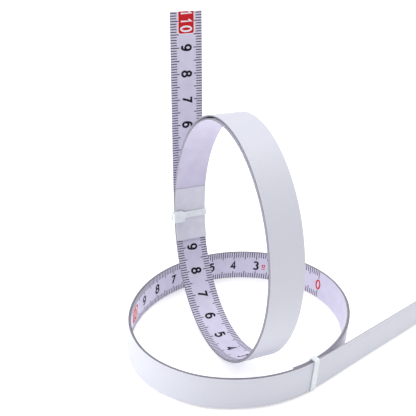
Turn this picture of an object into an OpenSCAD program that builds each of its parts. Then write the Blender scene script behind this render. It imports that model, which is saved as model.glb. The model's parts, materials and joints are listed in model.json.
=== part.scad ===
// Self-adhesive steel ruler tape with no case: two cut lengths of one tape. One is coiled flat,
// standing on its edge, with a straight tail. The other is coiled upright inside the first, with
// a straight strip going up. A small nylon cable tie holds each coil.
//
// A coil is a chain of arcs, one for each 30 degrees that the tape turns, cut into narrow flat
// facets. Arcs in the same direction on later turns share one centre, so the turns stay parallel.
// An angle given here is the direction of the tape's outward normal, and it grows from the inner
// end to the outer end.

/* [Tape] */
// Width of the tape
tape_width = 13; // [10:0.5:16]
// Thickness of the spring steel band
band_thickness = 0.15; // [0.1:0.01:0.2]
// Thickness of the white scale coat on the inner face
coat_thickness = 0.05; // [0.03:0.01:0.1]
// Thickness of the adhesive film on the back
adhesive_thickness = 0.12; // [0.08:0.01:0.2]
// Thickness of the release liner over the adhesive
liner_thickness = 0.12; // [0.08:0.01:0.2]
// Air between one turn and the next
turn_gap = 0.02; // [0.01:0.01:0.1]
// Thickness of the pale film that covers the tape's inner end
film_thickness = 0.3; // [0.1:0.05:0.4]
// Gap between a coil and the straight length that flexes
flex_gap = 0.15; // [0.1:0.05:0.3]

/* [Flat coil] */
// Mean bend radius
flat_radius = 42.1; // [30:0.1:60]
// How far the bend radius swings above and below the mean, twice a turn
flat_oval = 11.1; // [0:0.1:14]
// Direction in which the flat coil bends least
flat_oval_angle = -45.5; // [-90:0.5:90]
// How far the bend radius swings three times a turn
flat_pear = 1.5; // [0:0.1:4]
// Direction of the first of those three swings
flat_pear_angle = 42; // [0:0.5:120]
// Whole turns of the flat coil
flat_turns = 2; // [1:1:6]
// Direction of the flat coil's tie
flat_tie_angle = -47.7; // [-90:0.1:0]
// How far the inner end reaches back past the tie
flat_start_back = 10; // [2:0.1:12]
// How far the film reaches back past the tie
flat_film_back = 10.3; // [4:0.1:14]
// How far the film reaches on from the tie
flat_film_on = 55.2; // [10:0.1:60]
// Bend radius of the length that leads out of the flat coil
flat_lead_radius = 840; // [200:10:2000]
// Length of that lead
flat_lead_length = 25; // [10:1:40]
// Length of the straight tail after the lead
flat_tail_length = 45; // [20:1:80]

/* [Upright coil] */
// Mean bend radius
hoop_radius = 41.6; // [30:0.1:60]
// How far the bend radius swings above and below the mean, twice a turn
hoop_oval = 11.1; // [0:0.1:14]
// Direction in which the upright coil bends least
hoop_oval_angle = -6.4; // [-90:0.1:90]
// How far the bend radius swings three times a turn
hoop_pear = 2.2; // [0:0.1:4]
// Direction of the first of those three swings
hoop_pear_angle = -1.8; // [-60:0.1:60]
// Whole turns of the upright coil
hoop_turns = 2; // [1:1:6]
// Slack in the last turn, so that it stands off the turn inside it at the top
hoop_slack = 0.35; // [0:0.01:0.5]
// Direction of the upright coil's tie, above level
hoop_tie_angle = -11.4; // [-45:0.1:45]
// How far along the coil the tie sits from there, in degrees
hoop_tie_shift = 1; // [0:0.1:3]
// How far the inner end reaches back past the tie
hoop_start_back = 10; // [2:0.1:12]
// How far the film reaches back past the tie
hoop_film_back = 10.4; // [4:0.1:14]
// How far the film reaches on from the tie
hoop_film_on = 13.2; // [4:0.1:14]
// Bend radius of the length that leads out of the upright coil
hoop_lead_radius = 720; // [200:10:2000]
// Length of that lead
hoop_lead_length = 30; // [10:1:40]
// Length of the straight strip after the lead
hoop_strip_length = 51.2; // [20:0.1:80]
// How far the upright coil is turned about the vertical
hoop_yaw = 27.1; // [0:0.1:90]
// Place of the upright coil, sideways from the middle of the flat coil
hoop_offset_x = -6; // [-15:0.1:15]
// Place of the upright coil, back from the middle of the flat coil
hoop_offset_y = -4; // [-15:0.1:15]

/* [Cable ties] */
// Width of the strap
strap_width = 2.5; // [2:0.1:3.6]
// Thickness of the strap
strap_thickness = 0.6; // [0.5:0.05:1.2]
// Air between the strap and the coil it holds
tie_gap = 0.12; // [0.1:0.01:0.3]
// Size of the head along its slot, across the tape
head_depth = 4.7; // [3.5:0.1:6]
// Size of the head along the tape
head_width = 3.8; // [3.4:0.1:6]
// Size of the head out from the coil's inner face
head_height = 3.1; // [3:0.1:4]
// How far the upright coil's head stands out past the tape's edge
head_outward = 1.3; // [0:0.1:2]
// Length of cut strap that sticks out of that head
stub_length = 0.4; // [0:0.1:3]

/* [Hidden] */

sector = 30;                        // degrees of turn in one arc
sectors = 360 / sector;             // arcs in one turn
tape_thickness = band_thickness + coat_thickness + adhesive_thickness + liner_thickness;
pitch = tape_thickness + turn_gap;  // growth of the radius in one turn

// Each layer: distance of its inner side from the tape's middle surface, then its thickness
coat_layer = [-tape_thickness / 2, coat_thickness];
band_layer = [coat_layer[0] + coat_thickness, band_thickness];
adhesive_layer = [band_layer[0] + band_thickness, adhesive_thickness];
liner_layer = [adhesive_layer[0] + adhesive_thickness, liner_thickness];
film_layer = [coat_layer[0] - turn_gap - film_thickness, film_thickness];

facet = 3;                          // degrees of turn in one flat facet of a coil
lead_facets = 4;                    // flat facets in the lead out of a coil
slack_swing = 1.5;                  // how far the slack swings either way, as a share of itself

slot_clearance = 0.05;              // between the strap and the head's slot, above and below
slot_side_clearance = 0.1;          // the same on each side
slot_floor = 0.6;                   // head material between the coil and the slot
ramp_gap = 0.3;                     // between the head and the ramp that brings the strap to its slot
ramp_length = 1.8;
cavity_height = 1.2;                // room for the pawl beyond the slot
cavity_wall = 0.45;                 // head material around the pawl
pawl_width = 1.5;
pawl_side_clearance = 0.15;
// Side view of the pawl: along the slot from the head's outer end, and up from the strap
pawl_outline = [[0.85, 0.6], [0.85, 1.0], [1.4, 1.0], [3.6, 0.45], [3.6, 0.12], [3.1, 0.12]];
corner = 0.3;                       // chamfer on the strap's and the head's outer corners

white = [0.88, 0.87, 0.93];
steel = [0.62, 0.62, 0.66];
glue = [0.80, 0.80, 0.78];
paper = [0.93, 0.94, 0.97];
film = [0.84, 0.84, 0.88];
nylon = [0.93, 0.96, 0.98];

// ---- Shape of a coil ----

// Shape record: mean radius, oval swing and angle, pear swing and angle, tie angle, turns, lead,
// slack in the last turn
flat = [flat_radius, flat_oval, flat_oval_angle, flat_pear, flat_pear_angle, flat_tie_angle,
        flat_turns, flat_lead_radius, flat_lead_length, 0];
hoop = [hoop_radius, hoop_oval, hoop_oval_angle, hoop_pear, hoop_pear_angle, hoop_tie_angle,
        hoop_turns, hoop_lead_radius, hoop_lead_length, hoop_slack];

function unit(angle) = [cos(angle), sin(angle)];
function arc_angle(length, radius) = length / radius * 180 / PI;
function tie_angle(shape) = shape[5];
function turns(shape) = shape[6];
function lead_radius(shape) = shape[7];
function first_angle(shape) = tie_angle(shape) - sector / 2;
function end_angle(shape) = tie_angle(shape) + 360 * turns(shape);
function lead_turn(shape) = arc_angle(shape[8], lead_radius(shape));
function sector_start(shape, k) = first_angle(shape) + k * sector;
function sector_of(shape, angle) = floor((angle - first_angle(shape)) / sector);

// Extra bend radius in the last turn. It opens a gap that is nothing at the tie, widest a little
// more than a quarter turn on, and nothing again for the last quarter turn.
function slack(shape, k) =
    k < sectors * (turns(shape) - 1) || k >= sectors * turns(shape) ? 0
    : shape[9] * (1 + slack_swing * sin(2 * sector * (k + 0.5)));

function bend_radius(shape, k) =
    let (middle = sector_start(shape, k + 0.5))
    shape[0] + shape[1] * cos(2 * (middle - shape[2])) + shape[3] * cos(3 * (middle - shape[4]))
    + pitch * k / sectors + slack(shape, k);

function bend_centre(shape, k) =
    k == 0 ? [0, 0]
    : bend_centre(shape, k - 1)
      + (bend_radius(shape, k - 1) - bend_radius(shape, k)) * unit(sector_start(shape, k));

// Point of the coil whose normal has this direction, that far outside the middle surface
function coil_point(shape, angle, outside = 0) =
    let (k = sector_of(shape, angle))
    bend_centre(shape, k) + (bend_radius(shape, k) + outside) * unit(angle);

function lead_centre(shape) = coil_point(shape, end_angle(shape))
    - lead_radius(shape) * unit(end_angle(shape));
function lead_end(shape) = end_angle(shape) + lead_turn(shape);

// Outer face of the coil at the tie, from the centre of the tie's arc, and its thickness there
function bundle_outer(shape) = bend_radius(shape, 0) + pitch * turns(shape) + tape_thickness / 2;
function bundle_thickness(shape) =
    bundle_outer(shape) - bend_radius(shape, 0) - film_layer[0];

// The coil between two angles, that far outside the middle surface, as points
function coil_path(shape, from, to, outside) =
    let (first = floor((from - first_angle(shape)) / facet + 0.01) + 1,
         last = ceil((to - first_angle(shape)) / facet - 0.01) - 1)
    [coil_point(shape, from, outside),
     for (i = [first : last]) coil_point(shape, first_angle(shape) + i * facet, outside),
     coil_point(shape, to, outside)];

// The lead out of the coil, from just after the coil's end
function lead_path(shape, outside) = [
    for (i = [1 : lead_facets])
        lead_centre(shape) + (lead_radius(shape) + outside)
            * unit(end_angle(shape) + lead_turn(shape) * i / lead_facets)
];

function reversed(points) = [for (i = [len(points) - 1 : -1 : 0]) points[i]];

// A strip of the tape's width between two paths
module strip_between(inner_path, outer_path) {
    linear_extrude(tape_width) polygon(concat(outer_path, reversed(inner_path)));
}

// One layer of a coil and of the lead out of it
module coiled_layer(shape, start_back, layer) {
    start = tie_angle(shape) - start_back;
    inner = layer[0];
    outer = layer[0] + layer[1];
    strip_between(
        concat(coil_path(shape, start, end_angle(shape), inner), lead_path(shape, inner)),
        concat(coil_path(shape, start, end_angle(shape), outer), lead_path(shape, outer))
    );
}

// One layer of the straight length after the lead
module straight_layer(shape, length, layer) {
    translate(lead_centre(shape)) rotate(lead_end(shape))
        translate([lead_radius(shape) + layer[0], flex_gap, 0])
            cube([layer[1], length, tape_width]);
}

module film_piece(shape, back, on) {
    start = tie_angle(shape) - back;
    stop = tie_angle(shape) + on;
    strip_between(coil_path(shape, start, stop, film_layer[0]),
                  coil_path(shape, start, stop, film_layer[0] + film_layer[1]));
}

// ---- Cable tie ----
// Built with X across the tape from its lower edge and Z inward from the coil's outer face

function head_base(shape) = bundle_thickness(shape) + tie_gap;
function slot_base(shape) = head_base(shape) + slot_floor;
function head_start(outward) = -tie_gap - strap_thickness - outward;

// Section of the strap: out of the head, past the lower edge, over the outer face, past the upper
// edge, back over the inner face and through the head's slot
module strap_section(shape, outward, stub) {
    thickness = strap_thickness;
    left = -tie_gap - thickness;
    right = tape_width + tie_gap + thickness;
    bottom = -tie_gap - thickness;
    top = head_base(shape) + thickness;
    ramp_top = head_start(outward) + head_depth + ramp_gap;
    ramp_foot = ramp_top + ramp_length;
    end = head_start(outward) - stub;
    polygon([
        [left, head_base(shape)], [left, bottom + corner], [left + corner, bottom],
        [right - corner, bottom], [right, bottom + corner], [right, top - corner],
        [right - corner, top], [ramp_foot, top], [ramp_top, slot_base(shape) + thickness],
        [end, slot_base(shape) + thickness], [end, slot_base(shape)],
        [ramp_top, slot_base(shape)], [ramp_foot, head_base(shape)],
        [right - thickness, head_base(shape)], [right - thickness, -tie_gap],
        [-tie_gap, -tie_gap], [-tie_gap, head_base(shape)]
    ]);
}

// The strap follows the coil's curve round the centre of the tie's arc
module tie_strap(shape, outward, stub) {
    sweep = arc_angle(strap_width, bend_radius(shape, 0));
    rotate(-sweep / 2) rotate_extrude(angle = sweep)
        translate([bundle_outer(shape), 0]) rotate(90) strap_section(shape, outward, stub);
}

// Turns the tie's own axes to the coil's
module on_coil(shape) {
    translate([bundle_outer(shape), 0, 0]) rotate([0, -90, 0]) children();
}

module tie_head(shape, outward) {
    slot_bottom = slot_base(shape) - slot_clearance;
    slot_height = strap_thickness + 2 * slot_clearance;
    slot_width = strap_width + 2 * slot_side_clearance;
    cavity_width = pawl_width + 2 * pawl_side_clearance;
    on_coil(shape) translate([head_start(outward), 0, 0]) difference() {
        translate([0, 0, head_base(shape)]) rotate([90, 0, 90]) linear_extrude(head_depth)
            head_outline();
        // slot for the strap
        translate([-1, -slot_width / 2, slot_bottom])
            cube([head_depth + 2, slot_width, slot_height]);
        // room for the pawl
        translate([cavity_wall, -cavity_width / 2, slot_bottom])
            cube([head_depth - 2 * cavity_wall, cavity_width, slot_height + cavity_height]);
    }
}

// Outline of the head along the tape, with the corners away from the coil cut off
module head_outline() {
    half = head_width / 2;
    polygon([
        [-half, 0], [half, 0], [half, head_height - corner], [half - corner, head_height],
        [corner - half, head_height], [-half, head_height - corner]
    ]);
}

// Pawl: hinged where the strap leaves the head, with the tip just off the strap
module tie_pawl(shape, outward) {
    on_coil(shape) translate([head_start(outward), 0, slot_base(shape) + strap_thickness])
        rotate([90, 0, 0]) translate([0, 0, -pawl_width / 2]) linear_extrude(pawl_width)
            polygon(pawl_outline);
}

// ---- Placing ----

// The flat coil stands on its strap's underside and its own edge
strap_lift = tie_gap + strap_thickness;

flat_middle = [
    (coil_point(flat, 0)[0] + coil_point(flat, 180)[0]) / 2,
    (coil_point(flat, 90)[1] + coil_point(flat, 270)[1]) / 2
];
hoop_middle_x = (coil_point(hoop, 0)[0] + coil_point(hoop, 180)[0]) / 2;
hoop_bottom = coil_point(hoop, 270 + 360 * (turns(hoop) - 1), tape_thickness / 2)[1];

// Outer corner at the far end of a straight length
function free_end(shape, length) = lead_centre(shape)
    + (lead_radius(shape) + tape_thickness / 2) * unit(lead_end(shape))
    + (flex_gap + length) * unit(lead_end(shape) + 90);

flat_left = coil_point(flat, 180, tape_thickness / 2)[0];
flat_front = coil_point(flat, 270, tape_thickness / 2)[1];
flat_back = coil_point(flat, 90, tape_thickness / 2)[1];
tail_right = free_end(flat, flat_tail_length)[0];
strip_back = flat_middle[1] + hoop_offset_y
    + (free_end(hoop, hoop_strip_length)[0] - hoop_middle_x) * cos(hoop_yaw)
    + tape_width / 2 * sin(hoop_yaw);

// Middle of the whole outline, so that it lies on the vertical axis
outline_middle = [(flat_left + tail_right) / 2, (flat_front + max(flat_back, strip_back)) / 2];

module place_flat() {
    translate([-outline_middle[0], -outline_middle[1], strap_lift]) children();
}

module place_hoop() {
    translate([flat_middle[0] - outline_middle[0] + hoop_offset_x,
               flat_middle[1] - outline_middle[1] + hoop_offset_y, 0])
        rotate([0, 0, 90 + hoop_yaw]) rotate([90, 0, 0])
            translate([-hoop_middle_x, -hoop_bottom, -tape_width / 2]) children();
}

module at_flat_tie() {
    place_flat() rotate(tie_angle(flat)) children();
}

module at_hoop_tie() {
    place_hoop() rotate(tie_angle(hoop) + hoop_tie_shift) children();
}

// ---- Pieces ----

module flat_band() color(steel) place_flat() coiled_layer(flat, flat_start_back, band_layer);
module flat_coat() color(white) place_flat() coiled_layer(flat, flat_start_back, coat_layer);
module flat_adhesive() color(glue) place_flat() coiled_layer(flat, flat_start_back, adhesive_layer);
module flat_liner() color(paper) place_flat() coiled_layer(flat, flat_start_back, liner_layer);
module flat_film() color(film) place_flat() film_piece(flat, flat_film_back, flat_film_on);

module flat_tail_band() color(steel) place_flat() straight_layer(flat, flat_tail_length, band_layer);
module flat_tail_coat() color(white) place_flat() straight_layer(flat, flat_tail_length, coat_layer);
module flat_tail_adhesive()
    color(glue) place_flat() straight_layer(flat, flat_tail_length, adhesive_layer);
module flat_tail_liner()
    color(paper) place_flat() straight_layer(flat, flat_tail_length, liner_layer);

// The flat coil's tie has its head flush with the strap below it, so that both rest on the ground
module flat_tie_strap() color(nylon) at_flat_tie() tie_strap(flat, 0, 0);
module flat_tie_head() color(nylon) at_flat_tie() tie_head(flat, 0);
module flat_tie_pawl() color(nylon) at_flat_tie() tie_pawl(flat, 0);

module hoop_band() color(steel) place_hoop() coiled_layer(hoop, hoop_start_back, band_layer);
module hoop_coat() color(white) place_hoop() coiled_layer(hoop, hoop_start_back, coat_layer);
module hoop_adhesive() color(glue) place_hoop() coiled_layer(hoop, hoop_start_back, adhesive_layer);
module hoop_liner() color(paper) place_hoop() coiled_layer(hoop, hoop_start_back, liner_layer);
module hoop_film() color(film) place_hoop() film_piece(hoop, hoop_film_back, hoop_film_on);

module hoop_strip_band()
    color(steel) place_hoop() straight_layer(hoop, hoop_strip_length, band_layer);
module hoop_strip_coat()
    color(white) place_hoop() straight_layer(hoop, hoop_strip_length, coat_layer);
module hoop_strip_adhesive()
    color(glue) place_hoop() straight_layer(hoop, hoop_strip_length, adhesive_layer);
module hoop_strip_liner()
    color(paper) place_hoop() straight_layer(hoop, hoop_strip_length, liner_layer);

module hoop_tie_strap() color(nylon) at_hoop_tie() tie_strap(hoop, head_outward, stub_length);
module hoop_tie_head() color(nylon) at_hoop_tie() tie_head(hoop, head_outward);
module hoop_tie_pawl() color(nylon) at_hoop_tie() tie_pawl(hoop, head_outward);

flat_band();
flat_coat();
flat_adhesive();
flat_liner();
flat_film();
flat_tail_band();
flat_tail_coat();
flat_tail_adhesive();
flat_tail_liner();
flat_tie_strap();
flat_tie_head();
flat_tie_pawl();
hoop_band();
hoop_coat();
hoop_adhesive();
hoop_liner();
hoop_film();
hoop_strip_band();
hoop_strip_coat();
hoop_strip_adhesive();
hoop_strip_liner();
hoop_tie_strap();
hoop_tie_head();
hoop_tie_pawl();
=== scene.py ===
import json
import math

import bmesh
import bpy
import numpy as np
from mathutils import Matrix, Vector


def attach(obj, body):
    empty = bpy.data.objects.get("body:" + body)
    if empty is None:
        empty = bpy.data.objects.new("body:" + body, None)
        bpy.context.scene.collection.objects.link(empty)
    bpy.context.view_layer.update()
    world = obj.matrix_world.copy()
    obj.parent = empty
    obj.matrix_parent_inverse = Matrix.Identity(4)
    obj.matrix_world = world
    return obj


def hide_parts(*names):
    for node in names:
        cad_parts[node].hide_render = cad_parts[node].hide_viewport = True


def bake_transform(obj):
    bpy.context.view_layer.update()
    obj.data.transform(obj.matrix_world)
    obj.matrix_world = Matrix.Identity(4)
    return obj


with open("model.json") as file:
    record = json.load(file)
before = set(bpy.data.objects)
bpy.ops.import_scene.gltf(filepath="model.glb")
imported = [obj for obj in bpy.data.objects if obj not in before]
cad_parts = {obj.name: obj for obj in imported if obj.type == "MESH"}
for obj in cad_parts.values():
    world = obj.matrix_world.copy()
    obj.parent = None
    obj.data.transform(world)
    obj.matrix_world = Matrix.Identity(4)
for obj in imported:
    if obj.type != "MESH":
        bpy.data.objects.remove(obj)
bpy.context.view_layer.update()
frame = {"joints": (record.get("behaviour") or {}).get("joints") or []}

MM = 0.001

# ---- Sizes in millimetres, as in the CAD ----

TAPE_WIDTH = 13.0
TURN_GAP = 0.02
COAT = (-0.22, -0.17)  # each layer: its inner and outer side, from the tape's middle surface
BAND = (-0.17, -0.02)
ADHESIVE = (-0.02, 0.10)
LINER = (0.10, 0.22)
FILM = (-0.54, -0.24)
PITCH = LINER[1] - COAT[0] + TURN_GAP
FLEX_GAP = 0.15  # between the lead and the straight length in the CAD; the tape runs on through it
START_BACK = 10.0  # degrees by which a tape's inner end reaches back past its tie

STRAP_WIDTH = 2.5
STRAP_THICKNESS = 0.6
STRAP_BEND = 0.5  # how far from a corner its bend starts
STRAP_ROUNDING = 0.18
STRAP_ROOT = 0.1  # length of strap sunk in the head's underside
TIE_GAP = 0.12
HEAD = (4.7, 3.8, 3.1)  # across the tape, along it, in from the coil
HEAD_ROUNDING = 0.3
SLOT_FLOOR = 0.6  # head material between the coil and the slot
SLOT_CLEARANCE = 0.05  # above and below the strap
SLOT_SIDE_CLEARANCE = 0.1
RAMP_GAP = 0.3  # between the head and the ramp that brings the strap to its slot
RAMP_LENGTH = 1.8
CAVITY_HEIGHT = 1.2
CAVITY_WALL = 0.45
PAWL_WIDTH = 1.5
PAWL_SIDE_CLEARANCE = 0.15
PAWL_ALONG_SLOT = (0.85, 0.85, 1.4, 3.6, 3.6, 3.1)  # its outline, from the head's outer end
PAWL_ABOVE_STRAP = (0.6, 1.0, 1.0, 0.45, 0.12, 0.12)

# ---- Sizes of the print ----

INK = 0.012  # thickness of the ink
TICK_WIDTH = 0.34
SHORT_TICK = 2.55
LONG_TICK = 3.5
FIGURE_WIDTH = 2.8
FIGURE_HEIGHT = 4.6
FIGURE_STROKE = 0.86
MITRE_LIMIT = 0.55  # least cosine at a sharp corner of a stroke, so that it doesn't spike
ZERO_STROKE = 0.75
ZERO_SIZE = (2.8, 4.9)
ZERO_LINE_GAP = 0.5  # between the line across the tape and a figure's height
MARKER_HALF_SIDE = 0.5
MARKER_BAR = (0.8, 1.5)  # half its length, and how far it lies below the square's middle
MARKER_STROKE = 0.4
BOX_FIGURE_STROKE = 0.64
BOX_FIGURE_SIZE = (2.4, 4.9)
BOX_WIDTH = 6.3
BOX_CORNER = 0.8
BOX_BORDER = 0.3
BOX_PITCH = 2.95
BOX_MARGIN = 0.23

FLAT_ZERO = 66.0  # length from the flat tie to the 0 of its scale
MARKER_AT = 26.6  # place of the small red mark on that scale
HOOP_ZERO = 159.4  # length from the upright tie to the 0 of its scale
STRIP_MARK = 1050  # a mark on the strip, in mm of its scale
STRIP_MARK_PAST_COIL = 27.8  # length from the end of the upright coil to that mark

# ---- How the shapes are built up ----

FLAT_FILM_ANGLES = (-10.3, 55.2)  # where each film starts and stops, in degrees from the tie
HOOP_FILM_ANGLES = (-10.4, 13.2)

SECTOR = 30.0  # degrees of turn in one arc of a coil
ARCS_PER_TURN = int(360 / SECTOR)
SLACK_SWING = 1.5  # how far the outer turn's slack swings either way, as a share of itself
STRAIGHT_RADIUS = 1e6  # a straight length is an arc of this radius
STATION_STEP = 0.6  # between two cross-sections of a ribbon
COIL_RIM_SHADE = 1.0  # how strongly painted shade darkens the cut edges of the coils and films
FREE_RIM_SHADE = 0.35  # the same for the straight lengths, whose cut edges take less painted shade
RIM_COSINE = 0.7  # a face is on a cut edge when its normal is this close to the tape's width
CURVE_SHARP_ANGLE = 35  # degrees between two faces above which their edge is drawn sharp
NYLON_SHARP_ANGLE = 25
CUTTER_OVERRUN = 1.0  # how far the slot's cutter sticks out of the head at each end
FLEX_REACH = 0.011  # metres to each side of a flex hinge, to the ends of its zone


def find_joint(name):
    """The joint of that name in the CAD's frame."""
    return next(joint for joint in frame["joints"] if joint["name"] == name)


def add_object(name, data):
    """An object for a mesh, a light or a camera, in the scene."""
    obj = bpy.data.objects.new(name, data)
    bpy.context.scene.collection.objects.link(obj)
    return obj


def unit(angle):
    """Unit vectors in the coil's plane, for angles in degrees."""
    radians = np.radians(angle)
    return np.stack([np.cos(radians), np.sin(radians)], axis=-1)


class Tape:
    """One cut length of the tape, as a chain of arcs that run smoothly into each other. Lengths
    along it count from the middle of its tie."""

    def __init__(self, tie_joint, mean, oval, pear, tie_angle, turns, slack, lead, straight):
        joint = find_joint(tie_joint)
        self.origin = np.array(joint["pos_m"])
        self.across = np.array(joint["axis"])
        upright = abs(self.across[2]) < 0.5
        self.v = np.array([0.0, 0.0, 1.0]) if upright else np.array([0.0, 1.0, 0.0])
        self.u = np.cross(self.v, self.across)
        self.mean, self.oval, self.pear, self.slack = mean, oval, pear, slack
        self.tie_angle = tie_angle
        self.turns = turns
        self.starts, self.centres, self.radii, self.angles = [], [], [], []
        self.add_coil()
        self.add_lead(*lead)
        self.end = self.lead_end + FLEX_GAP + straight
        self.starts = np.array(self.starts)
        self.centres = np.array(self.centres)
        self.radii = np.array(self.radii)
        self.angles = np.array(self.angles)

    def arc_radius(self, k):
        """Radius of the coil's arc number k: an oval, a little pear-shaped, that grows by one
        pitch a turn and stands slack in its outer turn."""
        first = self.tie_angle - SECTOR / 2
        middle = first + k * SECTOR + SECTOR / 2
        radius = (
            self.mean
            + self.oval[0] * math.cos(2 * math.radians(middle - self.oval[1]))
            + self.pear[0] * math.cos(3 * math.radians(middle - self.pear[1]))
            + PITCH * k / ARCS_PER_TURN
        )
        if k // ARCS_PER_TURN == self.turns - 1:
            radius += self.slack * (1 + SLACK_SWING * math.sin(2 * math.radians(middle - first)))
        return radius

    def add_arc(self, length, radius, angle):
        """Starts an arc at that length and angle, tangent to the arc before it."""
        centre = np.zeros(2)
        if self.radii:
            centre = self.centres[-1] + (self.radii[-1] - radius) * unit(angle)
        self.starts.append(length)
        self.centres.append(centre)
        self.radii.append(radius)
        self.angles.append(angle)

    def add_coil(self):
        """The coil's arcs. The tie is in the middle of the first, and of the last."""
        half = math.radians(SECTOR / 2)
        length = -self.arc_radius(0) * half
        for k in range(ARCS_PER_TURN * self.turns + 1):
            radius = self.arc_radius(k)
            self.add_arc(length, radius, self.tie_angle - SECTOR / 2 + k * SECTOR)
            length += radius * math.radians(SECTOR)
        self.coil_length = length - radius * half
        self.turn_length = self.starts[ARCS_PER_TURN] - self.starts[0]
        self.tie_radius = self.radii[0]
        self.start = -self.tie_radius * math.radians(START_BACK)

    def add_lead(self, lead_radius, lead_length):
        """The slightly curved lead off the coil, and the straight length after it."""
        angle = self.tie_angle + 360 * self.turns
        self.lead_end = self.coil_length + lead_length
        self.add_arc(self.coil_length, lead_radius, angle)
        angle += math.degrees(lead_length / lead_radius)
        self.add_arc(self.lead_end, STRAIGHT_RADIUS, angle)

    def in_frame(self, flat, z):
        """Points of the row frame, in metres, from points in the coil's plane and heights on the
        tape's width."""
        height = np.expand_dims(np.asarray(z, float) - TAPE_WIDTH / 2, -1)
        return self.origin + MM * (
            flat[..., :1] * self.u + flat[..., 1:] * self.v + height * self.across
        )

    def point(self, lengths, outside, z):
        """Points in the row frame, in metres, that far outside the middle surface."""
        lengths = np.asarray(lengths, float)
        k = np.clip(np.searchsorted(self.starts, lengths, side="right") - 1, 0, None)
        turned = np.degrees((lengths - self.starts[k]) / self.radii[k])
        radial = np.expand_dims(self.radii[k] + outside, -1)
        return self.in_frame(self.centres[k] + radial * unit(self.angles[k] + turned), z)

    def length_at(self, angle):
        """Length at which the coil's outward normal first has this angle past the tie."""
        k = int((angle + SECTOR / 2) // SECTOR)
        turned = math.radians(self.tie_angle + angle - self.angles[k])
        return self.starts[k] + self.radii[k] * turned

    def tie_point(self, shift, radial, along, z):
        """Points in the axes of a tie that many degrees further on: out from the centre of the
        arc, along the tape, across it."""
        out = unit(self.tie_angle + shift)
        side = np.array([-out[1], out[0]])
        radial, along, z = np.broadcast_arrays(radial, along, z)
        return self.in_frame(radial[..., None] * out + along[..., None] * side, z)


# ---- Meshes ----


def prism(rings, closed=False):
    """Vertices and faces of a solid through a row of outlines: rings is (count, corners, 3)."""
    count, corners = rings.shape[:2]
    faces = []
    spans = count if closed else count - 1
    for i in range(spans):
        j = (i + 1) % count
        for c in range(corners):
            d = (c + 1) % corners
            faces.append((i * corners + c, i * corners + d, j * corners + d, j * corners + c))
    if not closed:
        last = (count - 1) * corners
        faces.append(tuple(range(corners - 1, -1, -1)))
        faces.append(tuple(last + c for c in range(corners)))
    return rings.reshape(-1, 3), faces


def join(parts):
    """One list of vertices and one of faces out of several solids."""
    vertices, faces, base = [], [], 0
    for part_vertices, part_faces in parts:
        vertices.append(part_vertices)
        faces.extend(tuple(base + i for i in face) for face in part_faces)
        base += len(part_vertices)
    return np.concatenate(vertices), faces


def add_piece(name, vertices, faces, material, sharp_angle=CURVE_SHARP_ANGLE):
    """A shown mesh with outward normals, smooth over its curves and sharp at its edges."""
    mesh = bpy.data.meshes.new(name)
    mesh.from_pydata([tuple(v) for v in vertices], [], faces)
    work = bmesh.new()
    work.from_mesh(mesh)
    bmesh.ops.recalc_face_normals(work, faces=work.faces)
    work.to_mesh(mesh)
    work.free()
    mesh.polygons.foreach_set("use_smooth", [True] * len(mesh.polygons))
    mesh.set_sharp_from_angle(angle=math.radians(sharp_angle))
    mesh.materials.append(material)
    obj = add_object(name, mesh)
    return obj


def mark_rim_shade(obj, tape, strength):
    """Marks faces on the tape's cut edges, so that their material can paint shade on them."""
    mesh = obj.data
    values = np.zeros(len(mesh.loops), np.float32)
    axis = Vector(tape.across)
    for face in mesh.polygons:
        if abs(face.normal.dot(axis)) > RIM_COSINE:
            values[list(face.loop_indices)] = strength
    rim_shade = mesh.attributes.new("rim_shade", "FLOAT", "CORNER")
    rim_shade.data.foreach_set("value", values)


def ribbon(tape, start, stop, layer):
    """A layer of the tape between two lengths."""
    count = max(2, int(math.ceil((stop - start) / STATION_STEP)) + 1)
    lengths = np.linspace(start, stop, count)
    inner, outer = layer
    corners = ((inner, 0.0), (outer, 0.0), (outer, TAPE_WIDTH), (inner, TAPE_WIDTH))
    return prism(np.stack([tape.point(lengths, o, z) for o, z in corners], axis=1))


# ---- Materials ----


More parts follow.
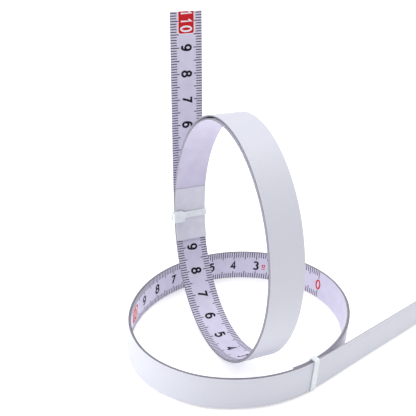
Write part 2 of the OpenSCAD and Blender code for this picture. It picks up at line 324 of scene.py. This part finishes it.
class Look:
    """A Principled material put together from procedural nodes in object coordinates."""

    def __init__(self, name, **values):
        self.material = bpy.data.materials.new(name)
        self.material.use_nodes = True
        self.nodes = self.material.node_tree.nodes
        self.links = self.material.node_tree.links
        self.shader = self.nodes["Principled BSDF"]
        for socket, value in values.items():
            self.shader.inputs[socket.replace("_", " ")].default_value = value
        self.coordinates = self.nodes.new("ShaderNodeTexCoord").outputs["Object"]

    def noise(self, scale, detail=3.0, stretch=(1, 1, 1), roughness=0.5):
        """Noise from 0 to 1; scale is in features per metre."""
        mapping = self.nodes.new("ShaderNodeMapping")
        mapping.inputs["Scale"].default_value = [s * scale for s in stretch]
        texture = self.nodes.new("ShaderNodeTexNoise")
        texture.inputs["Scale"].default_value = 1.0
        texture.inputs["Detail"].default_value = detail
        texture.inputs["Roughness"].default_value = roughness
        self.links.new(self.coordinates, mapping.inputs["Vector"])
        self.links.new(mapping.outputs["Vector"], texture.inputs["Vector"])
        return texture.outputs["Fac"]

    def ramp(self, value, low, high, start=0.3, stop=0.7):
        """A value or a colour that goes from low to high as the value goes from start to stop."""
        ramp = self.nodes.new("ShaderNodeValToRGB")
        for element, position, colour in zip(
            ramp.color_ramp.elements, (start, stop), (low, high)
        ):
            element.position = position
            is_grey = isinstance(colour, (int, float))
            element.color = (colour, colour, colour, 1) if is_grey else (*colour, 1)
        self.links.new(value, ramp.inputs["Fac"])
        return ramp.outputs["Color"]

    def mix(self, factor, low, high):
        """Colour low where the factor is 0 and high where it is 1. Either may be a socket."""
        mix = self.nodes.new("ShaderNodeMix")
        mix.data_type = "RGBA"
        for socket, colour in ((mix.inputs["A"], low), (mix.inputs["B"], high)):
            if isinstance(colour, tuple):
                socket.default_value = (*colour, 1)
            else:
                self.links.new(colour, socket)
        self.links.new(factor, mix.inputs["Factor"])
        return mix.outputs["Result"]

    def by_distance(self, near, far):
        """A value that changes with the distance from the middle, between two (metres, value)."""
        length = self.nodes.new("ShaderNodeVectorMath")
        length.operation = "LENGTH"
        self.links.new(self.coordinates, length.inputs[0])
        spread = self.nodes.new("ShaderNodeMapRange")
        for socket, value in zip(("From Min", "To Min", "From Max", "To Max"), near + far):
            spread.inputs[socket].default_value = value
        self.links.new(length.outputs["Value"], spread.inputs["Value"])
        return spread.outputs["Result"]

    def rim_shade(self):
        """Painted shade on the tape's cut edges, up to 1 there, and 0 on its faces."""
        attribute = self.nodes.new("ShaderNodeAttribute")
        attribute.attribute_name = "rim_shade"
        return attribute.outputs["Fac"]

    def set(self, socket, value):
        """Feeds a socket of the shader from a node."""
        self.links.new(value, self.shader.inputs[socket])

    def bump(self, height, distance_mm, strength):
        """Relief of that depth, from a height of 0 to 1."""
        bump = self.nodes.new("ShaderNodeBump")
        bump.inputs["Distance"].default_value = distance_mm * MM
        bump.inputs["Strength"].default_value = strength
        self.links.new(height, bump.inputs["Height"])
        self.links.new(bump.outputs["Normal"], self.shader.inputs["Normal"])


def coat_look():
    """Satin lavender-white lacquer with a faint mottle; its cut edge is painted greyer, as shade.
    """
    look = Look("scale_coat", IOR=1.45)
    mottle = look.noise(260, detail=4)
    face = look.ramp(mottle, (0.610, 0.578, 0.745), (0.670, 0.638, 0.797))
    # painted shade: the cut edge is drawn a darker grey than the lacquer
    edge = look.ramp(look.noise(1800), (0.30, 0.285, 0.345), (0.42, 0.40, 0.47))
    look.set("Base Color", look.mix(look.rim_shade(), face, edge))
    look.set("Roughness", look.ramp(look.noise(900), 0.34, 0.46))
    look.bump(look.noise(1500, detail=2), 0.01, 0.25)
    return look.material


def band_look():
    """Rolled spring steel; only its cut edges and ends show, and these are painted nearly black as
    shade.
    """
    look = Look("spring_steel", Metallic=0.35)
    streaks = look.noise(2600, stretch=(1, 1, 0.3))
    # painted shade: the cut edge is drawn near black
    edge = look.ramp(streaks, (0.07, 0.065, 0.085), (0.18, 0.175, 0.21))
    look.set("Base Color", look.mix(look.rim_shade(), (0.66, 0.66, 0.72), edge))
    look.set("Roughness", look.ramp(look.noise(1700), 0.38, 0.56))
    return look.material


def adhesive_look():
    """Greyish clear acrylic adhesive, drawn dark grey as painted shade on the tape's cut edge,
    where it shows.
    """
    look = Look("adhesive")
    # partly painted shade: dark grey so that the thin edge between the layers reads as shaded
    look.set("Base Color", look.ramp(look.noise(1400), (0.13, 0.12, 0.16), (0.24, 0.23, 0.27)))
    look.set("Roughness", look.ramp(look.noise(700), 0.35, 0.6))
    return look.material


def liner_look():
    """Bluish white release paper with fine fibres and a soft sheen; its cut edge is painted grey as
    shade.
    """
    look = Look("release_liner", IOR=1.4)
    fibres = look.noise(2200, detail=5, roughness=0.65)
    clouds = look.noise(140, detail=2)
    pale = look.ramp(fibres, (0.650, 0.663, 0.735), (0.720, 0.733, 0.806))
    tinted = look.mix(clouds, pale, (0.680, 0.692, 0.785))
    # painted shade: the cut edge is drawn grey
    edge = look.ramp(fibres, (0.32, 0.31, 0.365), (0.44, 0.43, 0.48))
    look.set("Base Color", look.mix(look.rim_shade(), tinted, edge))
    look.set("Roughness", look.ramp(clouds, 0.40, 0.52))
    look.bump(fibres, 0.008, 0.3)
    return look.material


def film_look(name, dark, light):
    """Frosted plastic film over the tape's inner end; its cut edge is painted grey as shade."""
    look = Look(name, IOR=1.45)
    clouds = look.noise(320, detail=4)
    face = look.ramp(clouds, dark, light)
    # painted shade: the cut edge is drawn grey
    edge = look.ramp(look.noise(1500), (0.42, 0.41, 0.47), (0.56, 0.55, 0.61))
    look.set("Base Color", look.mix(look.rim_shade(), face, edge))
    look.set("Roughness", look.ramp(look.noise(800), 0.36, 0.52))
    look.bump(clouds, 0.02, 0.3)
    return look.material


def nylon_look():
    """Milky moulded nylon."""
    look = Look("nylon", IOR=1.5, Subsurface_Weight=0.25, Subsurface_Scale=0.0012)
    look.shader.inputs["Subsurface Radius"].default_value = (1.0, 1.0, 1.0)
    clouds = look.noise(700, detail=3)
    look.set("Base Color", look.ramp(clouds, (0.78, 0.84, 0.88), (0.86, 0.90, 0.93)))
    look.set("Roughness", look.ramp(look.noise(1600), 0.28, 0.45))
    look.bump(look.noise(2400, detail=2), 0.02, 0.25)
    return look.material


def ink_look(name, dark, light):
    """Printed ink, a little uneven."""
    look = Look(name, Specular_IOR_Level=0.2)
    look.set("Base Color", look.ramp(look.noise(1900, detail=2), dark, light))
    look.set("Roughness", look.ramp(look.noise(1100), 0.4, 0.55))
    return look.material


COAT_LOOK = coat_look()
BAND_LOOK = band_look()
ADHESIVE_LOOK = adhesive_look()
LINER_LOOK = liner_look()
GREY_FILM = film_look("grey_film", (0.670, 0.675, 0.770), (0.740, 0.745, 0.835))
LAVENDER_FILM = film_look("lavender_film", (0.615, 0.585, 0.745), (0.675, 0.645, 0.80))
NYLON_LOOK = nylon_look()
BLACK_INK = ink_look("black_ink", (0.006, 0.005, 0.012), (0.014, 0.012, 0.024))
RED_INK = ink_look("red_ink", (0.52, 0.006, 0.012), (0.62, 0.012, 0.020))
WHITE_INK = ink_look("white_ink", (0.80, 0.78, 0.86), (0.88, 0.86, 0.93))

# ---- The tape's layers ----

LAYERS = {  # name: its inner and outer side, look and slot
    "band": (BAND, BAND_LOOK, "spring_steel"),
    "coat": (COAT, COAT_LOOK, "scale_coat"),
    "adhesive": (ADHESIVE, ADHESIVE_LOOK, "adhesive"),
    "liner": (LINER, LINER_LOOK, "release_liner"),
}


class Length:
    """A tape with the names of its bodies and CAD nodes, and the zone round its flex hinge."""

    def __init__(self, tape, prefix, free_prefix, coil_body, free_body, flex_joint):
        self.tape = tape
        self.prefix = prefix
        self.free_prefix = free_prefix
        self.coil_body = coil_body
        self.free_body = free_body
        ahead = tape.point([tape.lead_end, tape.end], 0.0, TAPE_WIDTH / 2)
        heading = Vector(ahead[1] - ahead[0]).normalized()
        middle = Vector(find_joint(flex_joint)["pos_m"])
        self.flex_start = middle - heading * FLEX_REACH
        self.flex_end = middle + heading * FLEX_REACH

    def hold_coil(self, obj):
        """Makes a piece move with the coil."""
        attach(obj, self.coil_body)

    def hold_free(self, obj):
        """Leaves a piece unattached to any body, with its place baked into its mesh."""
        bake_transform(obj)

    def add_layer(self, node, suffix, span, layer, rim_shade, hold):
        """A layer between two lengths, shown in place of its CAD node."""
        sides, material, slot = layer
        vertices, faces = ribbon(self.tape, *span, sides)
        obj = add_piece(f"{node}_{suffix}", vertices, faces, material)
        mark_rim_shade(obj, self.tape, rim_shade)
        hold(obj)
        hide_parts(node)

    def build_layers(self):
        """Each layer, as a coiled piece and a piece that runs on to the tape's end."""
        tape = self.tape
        coiled = (tape.start, tape.coil_length)
        free = (tape.coil_length, tape.end)
        for name, layer in LAYERS.items():
            coil_node = f"{self.prefix}_{name}"
            free_node = f"{self.free_prefix}_{name}"
            self.add_layer(coil_node, "coil", coiled, layer, COIL_RIM_SHADE, self.hold_coil)
            self.add_layer(free_node, "length", free, layer, FREE_RIM_SHADE, self.hold_free)

    def build_film(self, angles, material):
        """The film over the inner end, between two angles from the tie in degrees."""
        span = [self.tape.length_at(angle) for angle in angles]
        layer = (FILM, material, "start_film")
        self.add_layer(f"{self.prefix}_film", "sheet", span, layer, COIL_RIM_SHADE, self.hold_coil)


# ---- Print ----


def arc_points(centre, size, start, stop, count=14):
    """Points of an ellipse arc; angles in degrees, size is its half width and half height."""
    angles = np.radians(np.linspace(start, stop, count))
    return [
        (centre[0] + size[0] * math.cos(a), centre[1] + size[1] * math.sin(a)) for a in angles
    ]


def glyph_strokes(figure):
    """Centrelines of a figure in a box from -0.5 to 0.5 each way, as (points, closed)."""
    if figure == "0":
        return [(arc_points((0, 0), (0.5, 0.5), 0, 342, 20), True)]
    if figure == "1":
        return [([(-0.34, 0.24), (-0.1, 0.34), (0.08, 0.5), (0.08, -0.5)], False)]
    if figure == "2":
        top = arc_points((0, 0.2), (0.48, 0.3), 165, -35)
        return [(top + [(-0.48, -0.46)], False), ([(-0.5, -0.48), (0.5, -0.48)], False)]
    if figure == "3":
        upper = arc_points((-0.02, 0.26), (0.44, 0.24), 150, -90)
        lower = arc_points((-0.02, -0.24), (0.5, 0.27), 90, -150)
        return [(upper, False), (lower, False)]
    if figure == "4":
        return [([(0.22, -0.5), (0.22, 0.5), (-0.5, -0.2), (0.5, -0.2)], False)]
    if figure == "5":
        bowl = arc_points((-0.02, -0.18), (0.5, 0.33), 128, -150, 18)
        return [([(0.42, 0.48), (-0.32, 0.48), (-0.42, -0.02)] + bowl[1:], False)]
    if figure == "6":
        bowl = arc_points((0, -0.19), (0.48, 0.31), 0, 342, 20)
        back = arc_points((0.02, -0.12), (0.5, 0.62), 52, 190)
        return [(bowl, True), (back, False)]
    if figure == "7":
        return [([(-0.5, 0.48), (0.48, 0.48), (0.1, 0.0), (-0.16, -0.5)], False)]
    if figure == "8":
        upper = arc_points((0, 0.26), (0.42, 0.24), 0, 342, 20)
        lower = arc_points((0, -0.24), (0.5, 0.27), 0, 342, 20)
        return [(upper, True), (lower, True)]
    return [
        ([(-x, -y) for x, y in points], closed) for points, closed in glyph_strokes("6")
    ]


def stroke_sides(points, closed, stroke):
    """Left and right side of a stroke of that width along the points, with mitred corners."""
    line = np.array(points, float)
    if closed:
        before, after = np.roll(line, 1, axis=0), np.roll(line, -1, axis=0)
    else:
        before = np.vstack([2 * line[0] - line[1], line[:-1]])
        after = np.vstack([line[1:], 2 * line[-1] - line[-2]])
    arriving, leaving = line - before, after - line
    arriving /= np.linalg.norm(arriving, axis=1, keepdims=True)
    leaving /= np.linalg.norm(leaving, axis=1, keepdims=True)
    sideways = np.stack([-(arriving + leaving)[:, 1], (arriving + leaving)[:, 0]], axis=1)
    sideways /= np.maximum(np.linalg.norm(sideways, axis=1, keepdims=True), 1e-9)
    normal = np.stack([-arriving[:, 1], arriving[:, 0]], axis=1)
    stretch = 1 / np.maximum((sideways * normal).sum(axis=1, keepdims=True), MITRE_LIMIT)
    offset = sideways * stretch * stroke / 2
    return line + offset, line - offset


class Print:
    """Ink on the inner face of a tape: x is the reading direction, towards smaller lengths."""

    def __init__(self, tape):
        self.tape = tape
        self.parts = {"black": [], "red": [], "white": []}

    def strip(self, ink, left, right, closed=False, lift=0.0):
        """A flat solid between two rows of (length, height on the width) points."""
        base = COAT[0] - lift
        rows = (
            (left, base - INK),
            (right, base - INK),
            (right, base + INK / 2),
            (left, base + INK / 2),
        )
        rings = np.stack(
            [self.tape.point(row[:, 0], outside, row[:, 1]) for row, outside in rows], axis=1
        )
        self.parts[ink].append(prism(rings, closed))

    def tick(self, length, low, high):
        """A black line across part of the tape's width."""
        half = TICK_WIDTH / 2
        z = np.array([low, high])
        left = np.stack([np.full(2, length - half), z], axis=1)
        right = np.stack([np.full(2, length + half), z], axis=1)
        self.strip("black", left, right)

    def line(self, ink, length, points, closed, stroke, lift=0.0):
        """A stroke along points that are measured from that length and the middle of the width."""
        left, right = (
            np.stack([length - side[:, 0], TAPE_WIDTH / 2 + side[:, 1]], axis=1)
            for side in stroke_sides(points, closed, stroke)
        )
        self.strip(ink, left, right, closed, lift)

    def figure(self, digit, length, ink="black", stroke=FIGURE_STROKE, lift=0.0, size=None):
        """One digit, centred on that length and on the tape's width."""
        width, height = size or (FIGURE_WIDTH, FIGURE_HEIGHT)
        for points, closed in glyph_strokes(digit):
            scaled = [(x * (width - stroke), y * (height - stroke)) for x, y in points]
            self.line(ink, length, scaled, closed, stroke, lift)

    def plate(self, ink, length, half_length, half_width, lift):
        """A rectangle with rounded corners, cut off where the tape ends."""
        angles = np.radians(np.linspace(0, 90, 6))
        straight = half_length - BOX_CORNER
        ends = straight + BOX_CORNER * np.cos(angles)
        half = half_width - BOX_CORNER + BOX_CORNER * np.sin(angles)
        between = np.linspace(-straight, straight, int(2 * straight / STATION_STEP) + 2)[1:-1]
        x = np.concatenate([-ends, between, ends[::-1]])
        w = np.concatenate([half, np.full(len(between), half_width), half[::-1]])
        middle = TAPE_WIDTH / 2
        kept = x <= self.tape.end - length
        x, w = x[kept], w[kept]
        if not kept.all():
            x, w = np.append(x, self.tape.end - length), np.append(w, w[-1])
        left = np.stack([length + x, middle + w], axis=1)
        right = np.stack([length + x, middle - w], axis=1)
        self.strip(ink, left, right, lift=lift)

    def boxed_number(self, number, length):
        """White figures in a red box with a thin white border."""
        half_length = BOX_PITCH * len(number) / 2 + BOX_MARGIN
        half_width = BOX_WIDTH / 2
        self.plate("white", length, half_length + BOX_BORDER, half_width + BOX_BORDER, 0.0)
        self.plate("red", length, half_length, half_width, INK)
        for i, digit in enumerate(number):
            place = length + BOX_PITCH * ((len(number) - 1) / 2 - i)
            self.figure(digit, place, "white", BOX_FIGURE_STROKE, 2 * INK, BOX_FIGURE_SIZE)

    def scale(self, first, last, length_of_zero):
        """Millimetre ticks on both edges and a figure at each centimetre, first and last in mm."""
        for mark in range(first, last + 1):
            length = length_of_zero + mark
            reach = LONG_TICK if mark % 5 == 0 else SHORT_TICK
            self.tick(length, 0.0, reach)
            self.tick(length, TAPE_WIDTH - reach, TAPE_WIDTH)
            if mark % 100 == 0 and mark > 0:
                self.boxed_number(str(mark // 10), length)
            elif mark % 10 == 0 and mark > 0:
                self.figure(str(mark // 10 % 10), length)

    def marker(self, length):
        """A small red mark: a square outline over a bar."""
        half = MARKER_HALF_SIDE
        reach, drop = MARKER_BAR
        square = [(-half, -half), (half, -half), (half, half), (-half, half)]
        self.line("red", length, square, True, MARKER_STROKE)
        self.line("red", length, [(-reach, -drop), (reach, -drop)], False, MARKER_STROKE)

    def zero(self, length):
        """The start of the scale: a line across the tape, broken by a red figure."""
        gap = FIGURE_HEIGHT / 2 + ZERO_LINE_GAP
        self.tick(length, 0.0, TAPE_WIDTH / 2 - gap)
        self.tick(length, TAPE_WIDTH / 2 + gap, TAPE_WIDTH)
        self.figure("0", length, "red", ZERO_STROKE, 0.0, ZERO_SIZE)

    def build(self, name, hold):
        """One piece for each ink that was used."""
        inks = {"black": BLACK_INK, "red": RED_INK, "white": WHITE_INK}
        for ink, parts in self.parts.items():
            if parts:
                vertices, faces = join(parts)
                obj = add_piece(f"{name}_{ink}", vertices, faces, inks[ink])
                hold(obj)


# ---- Cable ties ----


def rounded_path(corners, reach, count=6):
    """A polyline with each inner corner replaced by a bend that starts that far from it."""
    corners = [np.array(c, float) for c in corners]
    points = [corners[0]]
    for before, corner, after in zip(corners, corners[1:], corners[2:]):
        start = corner + (before - corner) * reach / np.linalg.norm(before - corner)
        stop = corner + (after - corner) * reach / np.linalg.norm(after - corner)
        for t in np.linspace(0, 1, count):
            points.append((1 - t) ** 2 * start + 2 * t * (1 - t) * corner + t**2 * stop)
    points.append(corners[-1])
    return np.array(points)


def rounded_section(width, thickness, corner, count=4):
    """A rectangle with rounded corners, as (across, out) points."""
    points = []
    for sign_x, sign_y, start in ((1, 1, 0), (-1, 1, 90), (-1, -1, 180), (1, -1, 270)):
        for t in np.linspace(start, start + 90, count):
            a = math.radians(t)
            points.append(
                (
                    sign_x * (width / 2 - corner) + corner * math.cos(a),
                    sign_y * (thickness / 2 - corner) + corner * math.sin(a),
                )
            )
    return np.array(points)


class Tie:
    """A cable tie round a coil, built in its own axes: across the tape from its lower edge, along
    it, and in from the coil's outer face."""

    def __init__(self, tape, prefix, body, pawl_body, shift, outward, stub):
        self.tape = tape
        self.shift = shift
        self.prefix = prefix
        self.body = body
        self.pawl_body = pawl_body
        self.stub = stub
        self.outer = tape.tie_radius + PITCH * tape.turns + LINER[1]
        self.head_base = self.outer - tape.tie_radius - FILM[0] + TIE_GAP
        self.slot_base = self.head_base + SLOT_FLOOR
        self.head_start = -TIE_GAP - STRAP_THICKNESS - outward

    def place(self, across, along, inward):
        """Points in the row frame."""
        radial = self.outer - np.asarray(inward, float)
        return self.tape.tie_point(self.shift, radial, along, across)

    def strap_path(self):
        """The strap's middle line, as (across, inward) points: from the head, round the coil and
        back through the head's slot."""
        half = STRAP_THICKNESS / 2
        low, high = -TIE_GAP - half, TAPE_WIDTH + TIE_GAP + half
        ramp_top = self.head_start + HEAD[0] + RAMP_GAP
        corners = [
            (low, self.head_base + STRAP_ROOT),
            (low, -TIE_GAP - half),
            (high, -TIE_GAP - half),
            (high, self.head_base + half),
            (ramp_top + RAMP_LENGTH, self.head_base + half),
            (ramp_top, self.slot_base + half),
            (self.head_start - self.stub, self.slot_base + half),
        ]
        return rounded_path(corners, STRAP_BEND)

    def build_strap(self):
        """A rounded section swept along the strap's path."""
        path = self.strap_path()
        tangent = np.gradient(path, axis=0)
        tangent /= np.linalg.norm(tangent, axis=1, keepdims=True)
        normal = np.stack([-tangent[:, 1], tangent[:, 0]], axis=1)
        section = rounded_section(STRAP_WIDTH, STRAP_THICKNESS, STRAP_ROUNDING)
        rings = []
        for point, out in zip(path, normal):
            flat = point + section[:, 1:] * out
            rings.append(self.place(flat[:, 0], section[:, 0], flat[:, 1]))
        vertices, faces = prism(np.array(rings))
        name = f"{self.prefix}_strap"
        obj = add_piece(f"{name}_loop", vertices, faces, NYLON_LOOK)
        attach(obj, self.body)
        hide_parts(name)

    def box(self, name, low, high, bevel=0.0):
        """A box in the tie's axes, with its edges rounded if a bevel is given in mm."""
        corners = [
            (x, y, z)
            for x in (low[0], high[0])
            for y in (low[1], high[1])
            for z in (low[2], high[2])
        ]
        points = np.array(corners)
        faces = [(0, 1, 3, 2), (4, 6, 7, 5), (0, 4, 5, 1), (2, 3, 7, 6), (0, 2, 6, 4), (1, 5, 7, 3)]
        mesh = bpy.data.meshes.new(name)
        mesh.from_pydata([tuple(p) for p in self.place(*points.T)], [], faces)
        work = bmesh.new()
        work.from_mesh(mesh)
        bmesh.ops.recalc_face_normals(work, faces=work.faces)
        if bevel:
            bmesh.ops.bevel(
                work,
                geom=list(work.edges),
                offset=bevel * MM,
                segments=4,
                affect="EDGES",
                profile=0.5,
                offset_type="OFFSET",
            )
        work.to_mesh(mesh)
        work.free()
        return add_object(name, mesh)

    def head_solids(self):
        """The head's block, and the two cutters that give it its slot and the pawl's room."""
        start, base = self.head_start, self.head_base
        depth, width, height = HEAD
        block = self.box(
            "head_block",
            (start, -width / 2, base),
            (start + depth, width / 2, base + height),
            HEAD_ROUNDING,
        )
        slot_half = STRAP_WIDTH / 2 + SLOT_SIDE_CLEARANCE
        slot_low = self.slot_base - SLOT_CLEARANCE
        slot_high = self.slot_base + STRAP_THICKNESS + SLOT_CLEARANCE
        slot = self.box(
            "head_slot",
            (start - CUTTER_OVERRUN, -slot_half, slot_low),
            (start + depth + CUTTER_OVERRUN, slot_half, slot_high),
        )
        room_half = PAWL_WIDTH / 2 + PAWL_SIDE_CLEARANCE
        room = self.box(
            "head_room",
            (start + CAVITY_WALL, -room_half, slot_low + SLOT_CLEARANCE),
            (start + depth - CAVITY_WALL, room_half, slot_high + CAVITY_HEIGHT),
        )
        return block, slot, room

    def build_head(self):
        """The block with its slot and room cut out, as one plain mesh."""
        block, *cutters = self.head_solids()
        for cutter in cutters:
            cut = block.modifiers.new("cut", "BOOLEAN")
            cut.operation = "DIFFERENCE"
            cut.solver = "EXACT"
            cut.object = cutter
        evaluated = block.evaluated_get(bpy.context.evaluated_depsgraph_get())
        result = bpy.data.meshes.new_from_object(evaluated)
        vertices = np.array([v.co for v in result.vertices])
        faces = [tuple(p.vertices) for p in result.polygons]
        for obj in (block, *cutters):
            bpy.data.objects.remove(obj)
        name = f"{self.prefix}_head"
        head = add_piece(f"{name}_block", vertices, faces, NYLON_LOOK, NYLON_SHARP_ANGLE)
        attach(head, self.body)
        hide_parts(name)

    def build_pawl(self):
        """A wedge whose tip stands just off the strap."""
        across = self.head_start + np.array(PAWL_ALONG_SLOT)
        rise = self.slot_base + STRAP_THICKNESS + np.array(PAWL_ABOVE_STRAP)
        sides = (-PAWL_WIDTH / 2, PAWL_WIDTH / 2)
        rings = np.stack([self.place(across, np.full(len(across), y), rise) for y in sides])
        vertices, faces = prism(rings)
        name = f"{self.prefix}_pawl"
        obj = add_piece(f"{name}_tooth", vertices, faces, NYLON_LOOK, NYLON_SHARP_ANGLE)
        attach(obj, self.pawl_body)
        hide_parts(name)

    def build(self):
        """The tie's three pieces."""
        self.build_strap()
        self.build_head()
        self.build_pawl()


# ---- The object ----

FLAT_TAPE = Tape(
    "flat_tie_slide",
    mean=42.1,
    oval=(11.1, -45.5),
    pear=(1.5, 42.0),
    tie_angle=-47.7,
    turns=2,
    slack=0.0,
    lead=(840.0, 25.0),
    straight=45.0,
)
HOOP_TAPE = Tape(
    "upright_tie_slide",
    mean=41.6,
    oval=(11.1, -6.4),
    pear=(2.2, -1.8),
    tie_angle=-11.4,
    turns=2,
    slack=0.35,
    lead=(720.0, 30.0),
    straight=51.2,
)
FLAT = Length(FLAT_TAPE, "flat", "flat_tail", "flat_coil", "flat_tail", "tail_flex")
HOOP = Length(HOOP_TAPE, "hoop", "hoop_strip", "upright_coil", "upright_strip", "strip_flex")


def build_flat_print():
    """The first scale: its 0 lies in the coil, and it runs on into the tail."""
    tape = FLAT_TAPE
    coil = Print(tape)
    visible = int(tape.turn_length + tape.start - FLAT_ZERO)
    coil.zero(FLAT_ZERO)
    coil.marker(FLAT_ZERO + MARKER_AT)
    coil.scale(1, visible, FLAT_ZERO)
    coil.build("flat_print", FLAT.hold_coil)
    tail = Print(tape)
    first = int(math.ceil(tape.coil_length - FLAT_ZERO + 1))
    last = int(tape.end - FLAT_ZERO)
    tail.scale(first, last, FLAT_ZERO)
    tail.build("flat_tail_print", FLAT.hold_free)


def build_hoop_print():
    """The second scale: its first figures in the coil, and its last ones on the strip."""
    tape = HOOP_TAPE
    coil = Print(tape)
    visible = int(tape.turn_length + tape.start - HOOP_ZERO)
    coil.scale(0, visible, HOOP_ZERO)
    coil.build("hoop_print", HOOP.hold_coil)
    strip = Print(tape)
    zero = tape.coil_length + STRIP_MARK_PAST_COIL - STRIP_MARK
    first = int(math.ceil(tape.coil_length - zero + 1))
    last = int(tape.end - zero)
    strip.scale(first, last, zero)
    strip.build("hoop_strip_print", HOOP.hold_free)


FLAT.build_layers()
FLAT.build_film(FLAT_FILM_ANGLES, LAVENDER_FILM)
HOOP.build_layers()
HOOP.build_film(HOOP_FILM_ANGLES, GREY_FILM)
build_flat_print()
build_hoop_print()
Tie(FLAT_TAPE, "flat_tie", "flat_tie", "flat_pawl", shift=0.0, outward=0.0, stub=0.0).build()
Tie(HOOP_TAPE, "hoop_tie", "upright_tie", "upright_pawl", shift=1.0, outward=1.3, stub=0.4).build()

# ---- Floor, light and camera ----

CAMERA_FROM_COIL = Vector((-0.00601, -0.26326, 0.18406))  # from the centre of the flat tie's arc
CAMERA_TILT = 0.4897  # radians below level
CAMERA_ROLL = 0.0716
CAMERA_ANGLE = math.radians(29.70)
LIGHT_AIM = (0, 0, 0.03)
LIGHTS = (  # name, place, size in metres, power in watts
    ("key", (-0.35, -0.35, 0.75), 0.5, 1.7),
    ("left", (-0.75, -0.1, 0.16), 0.5, 2.6),
    ("top", (0.1, 0.1, 0.9), 0.7, 3.5),
    ("back", (0.60, 0.60, 0.38), 0.4, 4.2),
)
WORLD_LIGHT = 0.37
FLOOR_REACH = 6.0  # metres from the middle to each side of the floor
FLOOR_GLOW_NEAR = (0.25, 0.3)  # metres from the middle, and the glow of a lit table there
FLOOR_GLOW_FAR = (0.9, 0.66)


def build_floor():
    """A plain pale floor that glows as if it were lit, more so further off."""
    mesh = bpy.data.meshes.new("floor")
    r = FLOOR_REACH
    mesh.from_pydata([(-r, -r, 0), (r, -r, 0), (r, r, 0), (-r, r, 0)], [], [(0, 1, 2, 3)])
    obj = add_object("floor", mesh)
    look = Look("floor", Roughness=0.9)
    look.shader.inputs["Emission Color"].default_value = (1, 1, 1, 1)
    look.set("Emission Strength", look.by_distance(FLOOR_GLOW_NEAR, FLOOR_GLOW_FAR))
    look.shader.inputs["Specular IOR Level"].default_value = 0.1
    look.set("Base Color", look.ramp(look.noise(30), (0.93, 0.93, 0.93), (0.95, 0.95, 0.95)))
    mesh.materials.append(look.material)


def add_light(name, place, size, power):
    """A round soft light that is aimed at the object."""
    data = bpy.data.lights.new(name, "AREA")
    data.shape = "DISK"
    data.size = size
    data.energy = power
    light = add_object(name, data)
    light.location = place
    light.rotation_euler = (Vector(LIGHT_AIM) - Vector(place)).to_track_quat("-Z", "Y").to_euler()


def build_world():
    """A weak even light from all round, in front of a white backdrop."""
    world = bpy.data.worlds.new("studio")
    world.use_nodes = True
    nodes, links = world.node_tree.nodes, world.node_tree.links
    light = nodes["Background"]
    light.inputs["Color"].default_value = (1, 1, 1, 1)
    light.inputs["Strength"].default_value = WORLD_LIGHT
    backdrop = nodes.new("ShaderNodeBackground")
    backdrop.inputs["Color"].default_value = (1, 1, 1, 1)
    rays = nodes.new("ShaderNodeLightPath")
    mix = nodes.new("ShaderNodeMixShader")
    links.new(rays.outputs["Is Camera Ray"], mix.inputs["Fac"])
    links.new(light.outputs["Background"], mix.inputs[1])
    links.new(backdrop.outputs["Background"], mix.inputs[2])
    links.new(mix.outputs["Shader"], nodes["World Output"].inputs["Surface"])
    bpy.context.scene.world = world


def build_camera():
    """The camera, which looks down a little and is rolled about its own line of sight."""
    forward = Vector((0, math.cos(CAMERA_TILT), -math.sin(CAMERA_TILT)))
    right = Vector((1, 0, 0))
    up = right.cross(forward)
    turned_right = right * math.cos(CAMERA_ROLL) + up * math.sin(CAMERA_ROLL)
    turned_up = up * math.cos(CAMERA_ROLL) - right * math.sin(CAMERA_ROLL)
    data = bpy.data.cameras.new("camera")
    data.sensor_fit = "HORIZONTAL"
    data.angle = CAMERA_ANGLE
    data.clip_start = 0.01
    camera = add_object("camera", data)
    place = Vector(FLAT_TAPE.origin) + CAMERA_FROM_COIL
    camera.matrix_world = Matrix.Translation(place) @ Matrix(
        (turned_right, turned_up, -forward)
    ).transposed().to_4x4()
    bpy.context.scene.camera = camera


build_floor()
build_world()
for light in LIGHTS:
    add_light(*light)
build_camera()
bpy.context.scene.view_settings.view_transform = "Standard"
